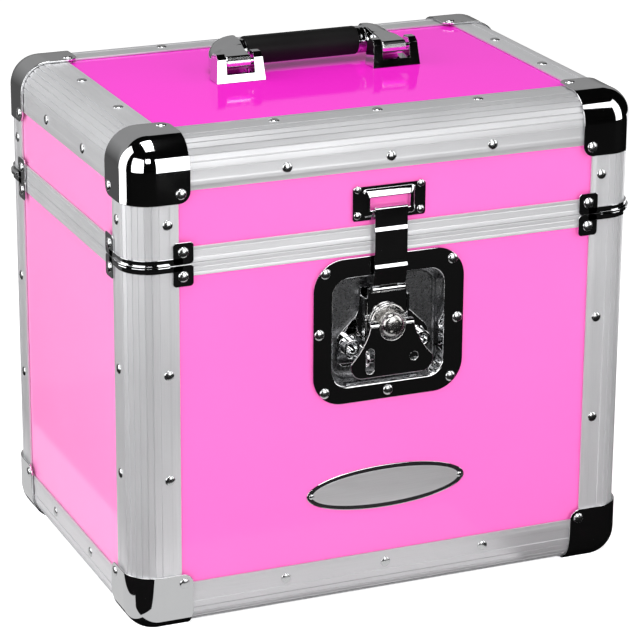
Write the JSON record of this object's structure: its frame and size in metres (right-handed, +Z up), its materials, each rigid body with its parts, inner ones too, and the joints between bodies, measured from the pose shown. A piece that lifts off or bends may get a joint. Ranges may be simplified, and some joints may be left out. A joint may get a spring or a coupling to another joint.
{
  "type": "record carrying case",
  "caption": "Rectangular carrying case for records with panelled walls, aluminium edges, metal corners, a hinged lid with a folding handle, and a recessed turn latch.",
  "frame": {"origin": "under the middle of the case, at the height of the surface that its bottom corners stand on", "axes": "+X along the width, toward the right as seen from the front; +Y toward the back, where the hinge is; +Z up"},
  "size_m": [0.378, 0.2809, 0.3701],
  "materials": {
    "pink_laminate": "high gloss",
    "aluminium": "satin anodised",
    "chrome": "polished",
    "black_grip": "fine grain",
    "foam": "open foam"
  },
  "bodies": {
    "case": {"case_panel_front": "pink_laminate", "case_panel_back": "pink_laminate", "case_panel_left": "pink_laminate", "case_panel_right": "pink_laminate", "case_panel_bottom": "pink_laminate", "case_edge_front_left": "aluminium", "case_edge_front_right": "aluminium", "case_edge_back_left": "aluminium", "case_edge_back_right": "aluminium", "case_bottom_edge_front": "aluminium", "case_bottom_edge_back": "aluminium", "case_bottom_edge_left": "aluminium", "case_bottom_edge_right": "aluminium", "case_rim": "aluminium", "case_ball_corner_front_left": "chrome", "case_ball_corner_front_right": "chrome", "case_ball_corner_back_left": "chrome", "case_ball_corner_back_right": "chrome", "case_brace_front_left": "chrome", "case_brace_front_right": "chrome", "case_brace_back_left": "chrome", "case_brace_back_right": "chrome", "case_foam_lining": "foam", "hinge_case_leaf": "aluminium", "latch_dish": "chrome", "latch_base": "chrome"},
    "lid": {"lid_panel_front": "pink_laminate", "lid_panel_back": "pink_laminate", "lid_panel_left": "pink_laminate", "lid_panel_right": "pink_laminate", "lid_panel_top": "pink_laminate", "lid_edge_front_left": "aluminium", "lid_edge_front_right": "aluminium", "lid_edge_back_left": "aluminium", "lid_edge_back_right": "aluminium", "lid_top_edge_front": "aluminium", "lid_top_edge_back": "aluminium", "lid_top_edge_left": "aluminium", "lid_top_edge_right": "aluminium", "lid_rim": "aluminium", "lid_ball_corner_front_left": "chrome", "lid_ball_corner_front_right": "chrome", "lid_ball_corner_back_left": "chrome", "lid_ball_corner_back_right": "chrome", "lid_brace_front_left": "chrome", "lid_brace_front_right": "chrome", "lid_brace_back_left": "chrome", "lid_brace_back_right": "chrome", "lid_foam_lining": "foam", "hinge_lid_leaf": "aluminium", "latch_keeper": "chrome", "handle_bracket_left": "chrome", "handle_bracket_right": "chrome"},
    "handle": {"handle_arm_left": "chrome", "handle_arm_right": "chrome", "handle_grip": "black_grip"},
    "latch_spindle": {"latch_spindle": "chrome"},
    "latch_wing": {"latch_wing": "chrome"},
    "latch_carriage": {"latch_carriage": "chrome"},
    "latch_hook": {"latch_hook": "chrome"}
  },
  "joints": [
    {"name": "lid_hinge", "type": "hinge", "parent": "case", "child": "lid", "pos_m": [0, 0.13665, 0.265], "axis": [-1, 0, 0], "range_deg": [0, 100]},
    {"name": "handle_pivot", "type": "hinge", "parent": "lid", "child": "handle", "pos_m": [0.0032, 0.003, 0.3608], "axis": [1, 0, 0], "range_deg": [0, 95]},
    {"name": "latch_turn", "type": "hinge", "parent": "case", "child": "latch_spindle", "pos_m": [0, -0.13225, 0.2052], "axis": [0, 1, 0], "range_deg": [0, 180]},
    {"name": "wing_fold", "type": "hinge", "parent": "latch_spindle", "child": "latch_wing", "pos_m": [0, -0.13525, 0.2052], "axis": [-1, 0, 0], "range_deg": [0, 90]},
    {"name": "hook_lift", "type": "slide", "parent": "case", "child": "latch_carriage", "axis": [0, 0, 1], "range_m": [0, 0.0062]},
    {"name": "hook_swing", "type": "hinge", "parent": "latch_carriage", "child": "latch_hook", "pos_m": [-0.0011, -0.13145, 0.23], "axis": [1, 0, 0], "range_deg": [0, 25]}
  ],
  "couplings": [
    {"joint": "hook_lift", "follows": "latch_turn", "m_per_rad": 0.001973}
  ]
}
